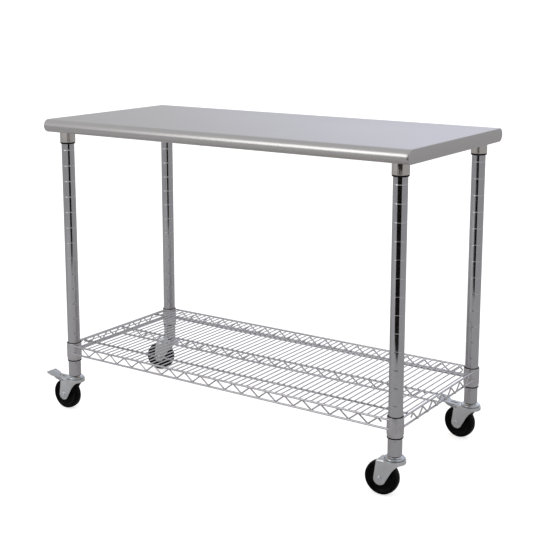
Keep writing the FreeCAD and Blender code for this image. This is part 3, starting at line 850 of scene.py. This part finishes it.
class CART_OT_trusses(bpy.types.Operator):
    """Grow the five trusses: two rails and a zigzag wire each"""
    bl_idname = "cart.trusses"
    bl_label = "Trusses"

    def execute(self, context):
        settings = context.scene.cart_shelf
        plate = wire_plate(settings)
        group = truss_tree(plate)
        rail = settings.rail_radius
        zigzag = settings.zigzag_radius
        half_pitch = 1.5 * settings.deck_pitch
        middle_x = TOP_MIDDLE.x
        for name in ("front", "middle", "back", "left_end", "right_end"):
            node = name + "_truss"
            low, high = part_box(node)
            at_end = name.endswith("_end")
            span = high.y - low.y if at_end else high.x - low.x
            reach = span / 2
            room = span / 2 - (18 * MM if at_end else 24 * MM)
            if name == "middle":
                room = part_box("front_truss")[1].x - middle_x - 24 * MM
            steps = int(room / half_pitch)
            steps -= steps % 2
            inward = -1 if name == "back" else 1
            beside = inward * (rail + zigzag)
            rail_y = low.y + rail if inward > 0 else high.y - rail
            top = high.z - rail
            peak = top if at_end else min(top, DECK_LOW.z - zigzag)
            mesh = grown(group, {
                "Rail Reach": reach, "Top": top, "Low": low.z + rail, "Peak": peak,
                "Half Pitch": half_pitch, "Steps": steps, "Tail": 11 * MM,
                "Beside": beside, "Bend": 4 * MM, "Rail Radius": rail, "Zigzag Radius": zigzag})
            if at_end:
                side = 1 if name == "right_end" else -1
                rail_x = low.x + rail if side > 0 else high.x - rail
                turn = Matrix.Rotation(math.radians(-90 * side), 4, "Z")
                mesh.transform(Matrix.Translation((rail_x, 0, 0)) @ turn)
            else:
                mesh.transform(Matrix.Translation((middle_x, rail_y, 0)))
            piece = piece_from(name + "_truss_wires", mesh, plate, 50)
            settle(piece, "table", "wire_chrome", node)
        return {"FINISHED"}


class CART_OT_deck(bpy.types.Operator):
    """Grow the cross wires of the deck and the two stringers under them"""
    bl_idname = "cart.deck"
    bl_label = "Deck Wires"

    def execute(self, context):
        settings = context.scene.cart_shelf
        plate = wire_plate(settings)
        radius = settings.deck_radius
        pitch = settings.deck_pitch
        count = round((DECK_HIGH.x - DECK_LOW.x - 2 * radius) / pitch) + 1
        post = post_axis("front_right")
        mesh = grown(deck_tree(plate), {
            "Count": count, "Pitch": pitch, "Reach": DECK_HIGH.y, "Short Reach": 205.9 * MM,
            "Full Half": post.x - TOP_MIDDLE.x - 23 * MM, "Middle": TOP_MIDDLE.x,
            "Height": DECK_LOW.z + radius, "Radius": radius})
        piece = piece_from("deck_wire_rows", mesh, plate, 50)
        settle(piece, "table", "wire_chrome", "deck_wires")
        rail = settings.rail_radius
        for name in ("front", "back"):
            low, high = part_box(name + "_stringer")
            bar = lathe([(0, 0), (rail - 0.4 * MM, 0), (rail, 0.4 * MM), (rail, high.x - low.x - 0.4 * MM),
                         (rail - 0.4 * MM, high.x - low.x), (0, high.x - low.x)], 16)
            centre = (low + high) / 2
            turn = Matrix.Rotation(math.radians(90), 4, "Y")
            bar.transform(Matrix.Translation((low.x, centre.y, centre.z)) @ turn)
            piece = piece_from(name + "_stringer_wire", bar, plate, 50)
            settle(piece, "table", "wire_chrome", name + "_stringer")
        return {"FINISHED"}


def zinc_plate(settings):
    """Bright zinc on the pressed caster pieces."""
    return plated("bright_zinc", settings.zinc, 0.3, 0.1, 420, 0.08, 0.1)


class CART_OT_forks(bpy.types.Operator):
    """Finish the pressed caster forks and their axle bolts"""
    bl_idname = "cart.forks"
    bl_label = "Forks"

    def execute(self, context):
        zinc = zinc_plate(context.scene.cart_casters)
        bright = plated("bolt_zinc", (0.8, 0.82, 0.86), 0.15)
        for corner in CORNERS:
            body = corner + "_swivel"
            piece = piece_from("pressed_fork_" + corner, refined(corner + "_fork"), zinc)
            settle(piece, body, "zinc_bright", corner + "_fork")
            piece = piece_from("axle_screw_" + corner, refined(corner + "_axle_bolt", 0.25 * MM), bright)
            settle(piece, body, "hardware", corner + "_axle_bolt")
        return {"FINISHED"}


class CART_OT_swivels(bpy.types.Operator):
    """Turn the kingpins, the raceway caps and the rings of balls"""
    bl_idname = "cart.swivels"
    bl_label = "Swivels"

    def execute(self, context):
        bright = plated("raceway_zinc", (0.62, 0.65, 0.68), 0.16, 0.05, 600, 0.04, 0.06)
        steel = plated("stem_steel", (0.5, 0.48, 0.44), 0.28)
        for corner in CORNERS:
            low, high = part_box(corner + "_raceway_cap")
            top = high.z
            radius = (high.x - low.x) / 2
            outline = [(8.02 * MM, top - 2.4 * MM), (8.02 * MM, top)]
            outline += fillet((15.5 * MM, top - 4 * MM), 4 * MM, 90, 40, 5)
            outline += [(20.5 * MM, top - 2.6 * MM), (22.0 * MM, top - 3.5 * MM)]
            outline += fillet((radius - 3.2 * MM, top - 6.6 * MM), 3.2 * MM, 80, 0, 8)
            outline += [(radius, low.z + 0.5 * MM), (radius - 0.5 * MM, low.z), (radius - 1.8 * MM, low.z),
                        (25.0 * MM, 106.4 * MM), (22.6 * MM, 107.4 * MM), (18.6 * MM, 109.4 * MM),
                        (15.2 * MM, top - 2.4 * MM)]
            cap = at_post(lathe(outline), corner)
            piece = piece_from("cap_" + corner, cap, bright)
            settle(piece, "table", "zinc_bright", corner + "_raceway_cap")
            stem = piece_from("kingpin_" + corner, refined(corner + "_stem", 0.3 * MM), steel)
            settle(stem, "table", "hardware", corner + "_stem")
        polished = plated("ball_polish", (0.6, 0.6, 0.62), 0.08)
        points = []
        for corner in CORNERS:
            centre = post_axis(corner)
            for index in range(BALLS_IN_RACE):
                turn = 2 * math.pi * index / BALLS_IN_RACE + caster_turn(corner)
                points.append((centre.x + 20 * MM * math.cos(turn), centre.y + 20 * MM * math.sin(turn),
                               104 * MM))
        spheres = grown(ball_tree(polished), {"Radius": 2.9 * MM}, points)
        balls = piece_from("race_balls", spheres, polished, 80)
        settle(balls, "table", "ball_steel", "swivel_balls")
        return {"FINISHED"}


class CART_OT_wheels(bpy.types.Operator):
    """Turn the glossy black wheels and their bushings"""
    bl_idname = "cart.wheels"
    bl_label = "Wheels"

    def execute(self, context):
        settings = context.scene.cart_casters
        black = moulded("wheel_gloss", settings.black, 0.3, 0.0, 0.03)
        soft = settings.tread_round
        radius = Vector(JOINTS["front_left_wheel_spin"]["pos_m"]).z
        half = 14 * MM
        side = [(6.05 * MM, 15.4 * MM), (11.2 * MM, 15.4 * MM), (12.0 * MM, 14.8 * MM),
                (13.6 * MM, 10.6 * MM), (16.0 * MM, 9.4 * MM), (radius - 15.5 * MM, 9.0 * MM),
                (radius - 13 * MM, 10.0 * MM), (radius - 11 * MM, 12.8 * MM),
                (radius - 9.8 * MM, half - 0.2 * MM)]
        side += fillet((radius - soft - 1 * MM, half - soft), soft, 90, 25, 7)
        side += [(radius - 0.35 * MM, half - soft - 3 * MM), (radius, 2.2 * MM)]
        outline = side + [(r, -z) for r, z in reversed(side)]
        wheel = lathe(outline, 112)
        for corner in CORNERS:
            body = corner + "_roller"
            piece = piece_from("black_wheel_" + corner, placed(wheel, wheel_place(corner)), black, 40)
            settle(piece, body, "wheel_black", corner + "_wheel")
            tube = frame["nodes"][corner + "_bushing"]
            tube.data.materials.clear()
            tube.data.materials.append(plated("bushing_steel", (0.5, 0.5, 0.5), 0.3))
        return {"FINISHED"}


class CART_OT_brakes(bpy.types.Operator):
    """Finish the two brake pedals and their pins"""
    bl_idname = "cart.brakes"
    bl_label = "Brakes"

    def execute(self, context):
        # painted shade: the pedals take the forks' zinc colour, darkened
        pressed = [PEDAL_PAINTED_SHADE * part for part in context.scene.cart_casters.zinc]
        zinc = plated("pedal_zinc", pressed, 0.34, 0.1, 420, 0.08, 0.1)
        for corner in BRAKED:
            piece = piece_from("pedal_" + corner, refined(corner + "_brake_pedal", 0.3 * MM), zinc)
            settle(piece, corner + "_brake", "zinc_bright", corner + "_brake_pedal")
            pin = piece_from("pedal_pin_" + corner, refined(corner + "_brake_pin", 0.25 * MM),
                             plated("pin_zinc", (0.55, 0.57, 0.6), 0.22))
            settle(pin, corner + "_swivel", "hardware", corner + "_brake_pin")
        return {"FINISHED"}


# ---- stage --------------------------------------------------------------------------------
def studio_surround(brightness):
    """A soft grey studio: dimmer below the horizon, bright and cool behind the right end."""
    world = bpy.data.worlds.new("studio")
    bpy.context.scene.world = world
    net = Net(world)
    direction = net.add("ShaderNodeTexCoord", out=0)
    toward = Vector((-0.12, 0.96, 0.2)).normalized()
    facing = net.add("ShaderNodeVectorMath", {"operation": "DOT_PRODUCT"},
                     {0: direction, 1: toward}, 1)
    glow = net.add("ShaderNodeMapRange", {"interpolation_type": "SMOOTHSTEP"},
                   {0: facing, 1: 0.78, 2: 0.99, 3: 0.0, 4: 1.0})
    height = net.add("ShaderNodeSeparateXYZ", None, {0: direction}, 2)
    above = net.add("ShaderNodeMapRange", {"interpolation_type": "SMOOTHSTEP"},
                    {0: height, 1: -0.06, 2: 0.08, 3: 0.0, 4: 1.0})
    sky = net.mix(glow, rgba((0.985, 0.985, 1.0), brightness), rgba((0.92, 0.945, 1.08), brightness * 1.64))
    room = net.mix(above, rgba((0.98, 0.975, 0.975), brightness * 0.68), sky)
    soft = net.add("ShaderNodeBackground", None, {"Color": room, "Strength": 1.0})
    white = net.add("ShaderNodeBackground", None, {"Color": (1, 1, 1, 1), "Strength": 1.0})
    seen = net.add("ShaderNodeLightPath", out=0)
    view = net.add("ShaderNodeMixShader", None, {0: seen, 1: soft, 2: white})
    net.add_end("ShaderNodeOutputWorld", view)


def pale_floor(size):
    """A white floor, dimmer in the metal than in the view and clear from below."""
    material = bpy.data.materials.new("floor_paper")
    net = Net(material)
    grain = net.noise(net.coordinates(), 30.0, 3.0)
    tint = net.mix(grain, (0.86, 0.86, 0.86, 1), (0.9, 0.9, 0.9, 1))
    bright = net.add("ShaderNodeBsdfPrincipled", None,
                     {"Base Color": tint, "Roughness": 0.8, "Emission Color": (1, 1, 1, 1),
                      "Emission Strength": 0.66, "Specular IOR Level": 0.1})
    dim = net.add("ShaderNodeBsdfDiffuse", None, {"Color": (0.62, 0.61, 0.61, 1)})
    glossy = net.add("ShaderNodeLightPath", out=3)
    above = net.add("ShaderNodeMixShader", None, {0: glossy, 1: bright, 2: dim})
    clear = net.add("ShaderNodeBsdfTransparent")
    below = net.add("ShaderNodeNewGeometry", out=6)
    net.output(net.add("ShaderNodeMixShader", None, {0: below, 1: above, 2: clear}))
    form = bmesh.new()
    bmesh.ops.create_grid(form, x_segments=1, y_segments=1, size=size / 2)
    mesh = bpy.data.meshes.new("floor")
    form.to_mesh(mesh)
    form.free()
    mesh.materials.append(material)
    floor = bpy.data.objects.new("floor", mesh)
    bpy.context.scene.collection.objects.link(floor)


def dark_card():
    """A wide black card low in front of the cart that only the polished metal sees."""
    material = bpy.data.materials.new("card_black")
    net = Net(material)
    net.output(net.add("ShaderNodeBsdfDiffuse", None, {"Color": (0.006, 0.004, 0.003, 1)}))
    form = bmesh.new()
    bmesh.ops.create_grid(form, x_segments=1, y_segments=1, size=0.5)
    mesh = bpy.data.meshes.new("card")
    form.to_mesh(mesh)
    form.free()
    mesh.materials.append(material)
    mesh.transform(Matrix.Translation((0.78, -1.0, 0.48)) @ Matrix.Rotation(math.radians(30), 4, "Z")
                   @ Matrix.Rotation(math.radians(90), 4, "X") @ Matrix.Diagonal((1.05, 0.7, 1, 1)))
    card = bpy.data.objects.new("dark_card", mesh)
    bpy.context.scene.collection.objects.link(card)
    card.visible_camera = False
    card.visible_diffuse = False
    card.visible_shadow = False


def area_light(name, place, aim, width, depth, power, colour=(1, 1, 1)):
    """A soft rectangular light."""
    light = bpy.data.lights.new(name, "AREA")
    light.shape = "RECTANGLE"
    light.size = width
    light.size_y = depth
    light.energy = power
    light.color = colour
    lamp = bpy.data.objects.new(name, light)
    bpy.context.scene.collection.objects.link(lamp)
    lamp.location = place
    lamp.rotation_euler = (Vector(aim) - Vector(place)).to_track_quat("-Z", "Y").to_euler()


class CART_OT_stage(bpy.types.Operator):
    """Set the pale floor, the soft studio light and the camera"""
    bl_idname = "cart.stage"
    bl_label = "Stage"

    def execute(self, context):
        settings = context.scene.cart_stage
        studio_surround(settings.surround)
        pale_floor(settings.floor_size)
        dark_card()
        area_light("softbox", SOFTBOX_PLACE, (0.2, 0, 0.9), 1.5, 1.9, settings.softbox)
        context.scene.view_settings.view_transform = "Standard"
        context.scene.view_settings.look = "None"
        camera = bpy.data.cameras.new("camera")
        camera.sensor_width = 36
        camera.lens = CAMERA_LENS
        camera.shift_y = CAMERA_SHIFT
        holder = bpy.data.objects.new("camera", camera)
        context.scene.collection.objects.link(holder)
        holder.location = CAMERA_PLACE
        around = math.radians(34.25)
        down = math.radians(10.33)
        holder.rotation_euler = (math.pi / 2 - down, 0, around)
        context.scene.camera = holder
        return {"FINISHED"}


# ---- panel and registration ---------------------------------------------------------------
OPERATORS = (CART_OT_stage, CART_OT_worktop, CART_OT_underside, CART_OT_posts, CART_OT_sockets,
             CART_OT_sleeves, CART_OT_collars, CART_OT_trusses, CART_OT_deck, CART_OT_forks,
             CART_OT_swivels, CART_OT_wheels, CART_OT_brakes)
SETTINGS = {"cart_worktop": CartWorktop, "cart_posts": CartPosts, "cart_shelf": CartShelf,
            "cart_casters": CartCasters, "cart_stage": CartStage}


class CART_PT_panel(bpy.types.Panel):
    """The cart's pieces, in the order they are built"""
    bl_idname = "CART_PT_panel"
    bl_label = "Kitchen Island Cart"
    bl_space_type = "VIEW_3D"
    bl_region_type = "UI"
    bl_category = "Cart"

    def draw(self, context):
        for operator in OPERATORS:
            self.layout.operator(operator.bl_idname)


def register():
    for settings in SETTINGS.values():
        bpy.utils.register_class(settings)
    for operator in OPERATORS:
        bpy.utils.register_class(operator)
    bpy.utils.register_class(CART_PT_panel)
    for name, settings in SETTINGS.items():
        setattr(bpy.types.Scene, name, bpy.props.PointerProperty(type=settings))


def unregister():
    for name in SETTINGS:
        delattr(bpy.types.Scene, name)
    bpy.utils.unregister_class(CART_PT_panel)
    for operator in reversed(OPERATORS):
        bpy.utils.unregister_class(operator)
    for settings in SETTINGS.values():
        bpy.utils.unregister_class(settings)


def main():
    register()
    for operator in OPERATORS:
        group, name = operator.bl_idname.split(".")
        getattr(getattr(bpy.ops, group), name)()


if __name__ == "__main__":
    main()
